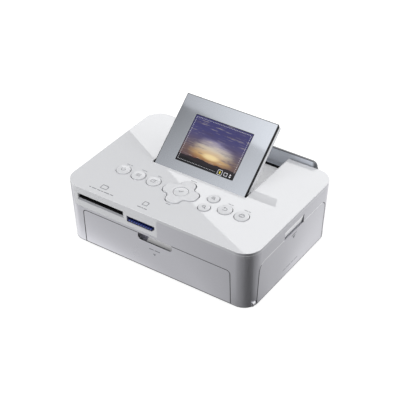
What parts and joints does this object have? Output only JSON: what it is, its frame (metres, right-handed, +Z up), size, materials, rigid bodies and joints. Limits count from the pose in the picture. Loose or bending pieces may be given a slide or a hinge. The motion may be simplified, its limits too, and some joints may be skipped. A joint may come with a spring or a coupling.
{
  "type": "compact photo printer",
  "caption": "Free-standing compact photo printer with a tilting display, raised buttons, two card slots, a bottom-hinged paper door in front and a bottom-hinged ink door on the right.",
  "frame": {"origin": "centre of the printer's plan outline, on the surface that it stands on", "axes": "+X to the printer's right, +Y to its back, +Z up"},
  "size_m": [0.178, 0.1298, 0.0963],
  "materials": {
    "gloss_white": "glossy moulded",
    "panel_white": "glossy moulded",
    "satin_silver": "satin moulded",
    "key_white": "satin moulded",
    "rear_grey": "glossy moulded",
    "base_grey": "fine grain",
    "foot_rubber": "matt",
    "bezel_silver": "satin metallic lacquer",
    "frame_black": "fine grain",
    "back_white": "glossy moulded",
    "screen_glass": "clear window over a lit picture",
    "lcd_metal": "bright plated",
    "socket_blue": "moulded",
    "board_green": "lacquered board",
    "screw_steel": "turned",
    "chassis_steel": "zinc plated sheet",
    "guide_black": "fine grain",
    "roller_rubber": "ground rubber",
    "gear_white": "natural acetal",
    "brass": "machined",
    "cassette_grey": "moulded",
    "ribbon": "dye film",
    "head_alu": "anodised",
    "lever_orange": "moulded"
  },
  "bodies": {
    "printer": {"base_plate": "base_grey", "body_shell": "satin_silver", "top_cover": "gloss_white", "display_tray": "gloss_white", "slot_panel": "panel_white", "rear_cover": "rear_grey", "feet": "foot_rubber", "case_screws": "screw_steel", "big_card_socket": "frame_black", "small_card_socket": "socket_blue", "main_board": "board_green", "button_board": "board_green", "board_screws": "screw_steel", "paper_guide": "guide_black", "chassis": "chassis_steel", "head_shaft": "screw_steel", "motor_bracket": "chassis_steel", "motor": "guide_black", "usb_ports": "lcd_metal", "dc_inlet": "frame_black", "battery_cap": "rear_grey", "ink_cassette": "cassette_grey", "paper_door_pins": "screw_steel", "ink_door_pins": "screw_steel", "display_pins": "frame_black"},
    "display": {"display_bezel": "bezel_silver", "display_frame": "frame_black", "display_back": "back_white", "lcd_module": "lcd_metal", "display_screen": "screen_glass"},
    "paper_flap": {"paper_door": "satin_silver"},
    "ink_flap": {"ink_door": "satin_silver"},
    "pad_ring_body": {"pad_ring": "gear_white"},
    "pad": {"direction_pad": "key_white"},
    "platen": {"platen_roller": "roller_rubber", "platen_shaft": "screw_steel", "platen_gear": "gear_white"},
    "capstan": {"capstan_roller": "screw_steel", "capstan_gear": "gear_white"},
    "pinch": {"pinch_roller": "roller_rubber"},
    "idler": {"idler_gear": "gear_white"},
    "takeup": {"takeup_spool": "ribbon", "takeup_gear": "gear_white"},
    "supply": {"supply_spool": "ribbon"},
    "rotor": {"motor_pinion": "brass"},
    "pickup": {"pickup_roller": "roller_rubber", "pickup_shaft": "screw_steel"},
    "head": {"head_arms": "chassis_steel", "print_head": "head_alu"},
    "lever": {"cassette_lever": "lever_orange"},
    "power_key": {"power_button": "key_white"},
    "menu_key": {"menu_button": "key_white"},
    "edit_key": {"edit_button": "key_white"},
    "back_key": {"back_button": "key_white"},
    "print_key": {"print_button": "key_white"},
    "zoom_in_key": {"zoom_in_button": "key_white"},
    "zoom_out_key": {"zoom_out_button": "key_white"},
    "confirm_key": {"confirm_button": "key_white"}
  },
  "joints": [
    {"name": "display_tilt", "type": "hinge", "parent": "printer", "child": "display", "pos_m": [0, -0.0001, 0.0538], "axis": [1, 0, 0], "range_deg": [-40.2, 0]},
    {"name": "paper_door_swing", "type": "hinge", "parent": "printer", "child": "paper_flap", "pos_m": [-0.00025, -0.06, 0.004], "axis": [1, 0, 0], "range_deg": [0, 88]},
    {"name": "ink_door_swing", "type": "hinge", "parent": "printer", "child": "ink_flap", "pos_m": [0.0842, -0.00165, 0.004], "axis": [0, 1, 0], "range_deg": [0, 88]},
    {"name": "power_press", "type": "slide", "parent": "printer", "child": "power_key", "axis": [0, 0, -1], "range_m": [0, 0.0005], "stiffness_N_per_m": 400},
    {"name": "menu_press", "type": "slide", "parent": "printer", "child": "menu_key", "axis": [0, 0, -1], "range_m": [0, 0.0005], "stiffness_N_per_m": 400},
    {"name": "edit_press", "type": "slide", "parent": "printer", "child": "edit_key", "axis": [0, 0, -1], "range_m": [0, 0.0005], "stiffness_N_per_m": 400},
    {"name": "back_press", "type": "slide", "parent": "printer", "child": "back_key", "axis": [0, 0, -1], "range_m": [0, 0.0005], "stiffness_N_per_m": 400},
    {"name": "print_press", "type": "slide", "parent": "printer", "child": "print_key", "axis": [0, 0, -1], "range_m": [0, 0.0005], "stiffness_N_per_m": 400},
    {"name": "zoom_in_press", "type": "slide", "parent": "printer", "child": "zoom_in_key", "axis": [0, 0, -1], "range_m": [0, 0.0005], "stiffness_N_per_m": 400},
    {"name": "zoom_out_press", "type": "slide", "parent": "printer", "child": "zoom_out_key", "axis": [0, 0, -1], "range_m": [0, 0.0005], "stiffness_N_per_m": 400},
    {"name": "confirm_press", "type": "slide", "parent": "printer", "child": "confirm_key", "axis": [0, 0, -1], "range_m": [0, 0.0005], "stiffness_N_per_m": 400},
    {"name": "pad_rock_x", "type": "hinge", "parent": "printer", "child": "pad_ring_body", "pos_m": [-0.001, -0.0261, 0.0514], "axis": [1, 0, 0], "range_deg": [-2.2, 2.2], "stiffness_Nm_per_rad": 0.2},
    {"name": "pad_rock_y", "type": "hinge", "parent": "pad_ring_body", "child": "pad", "pos_m": [-0.001, -0.0261, 0.0514], "axis": [0, 1, 0], "range_deg": [-2.2, 2.2], "stiffness_Nm_per_rad": 0.2},
    {"name": "capstan_turn", "type": "hinge", "parent": "printer", "child": "capstan", "pos_m": [0, 0.0389, 0.0138], "axis": [1, 0, 0], "continuous": true},
    {"name": "idler_turn", "type": "hinge", "parent": "printer", "child": "idler", "pos_m": [-0.063, 0.0236, 0.0138], "axis": [1, 0, 0], "continuous": true},
    {"name": "platen_turn", "type": "hinge", "parent": "printer", "child": "platen", "pos_m": [0, 0.0083, 0.0138], "axis": [1, 0, 0], "continuous": true},
    {"name": "takeup_turn", "type": "hinge", "parent": "printer", "child": "takeup", "pos_m": [0, 0.02626, 0.02887], "axis": [1, 0, 0], "continuous": true},
    {"name": "motor_turn", "type": "hinge", "parent": "printer", "child": "rotor", "pos_m": [-0.063, 0.03689, 0.03074], "axis": [1, 0, 0], "continuous": true},
    {"name": "pinch_turn", "type": "hinge", "parent": "printer", "child": "pinch", "pos_m": [0, 0.0389, 0.0231], "axis": [1, 0, 0], "continuous": true},
    {"name": "supply_turn", "type": "hinge", "parent": "printer", "child": "supply", "pos_m": [0, -0.0084, 0.0283], "axis": [1, 0, 0], "continuous": true},
    {"name": "pickup_turn", "type": "hinge", "parent": "printer", "child": "pickup", "pos_m": [0, -0.0284, 0.0278], "axis": [1, 0, 0], "continuous": true},
    {"name": "head_lift", "type": "hinge", "parent": "printer", "child": "head", "pos_m": [0, 0.0506, 0.0368], "axis": [1, 0, 0], "range_deg": [0, 3]},
    {"name": "lever_swing", "type": "hinge", "parent": "printer", "child": "lever", "pos_m": [0.06235, 0.0466, 0.0248], "axis": [1, 0, 0], "range_deg": [-20, 0], "stiffness_Nm_per_rad": 0.02}
  ],
  "couplings": [
    {"joint": "idler_turn", "follows": "capstan_turn", "ratio": -0.7},
    {"joint": "platen_turn", "follows": "capstan_turn", "ratio": 1},
    {"joint": "takeup_turn", "follows": "capstan_turn", "ratio": 1},
    {"joint": "motor_turn", "follows": "capstan_turn", "ratio": -1.4},
    {"joint": "pinch_turn", "follows": "capstan_turn", "ratio": -1}
  ]
}
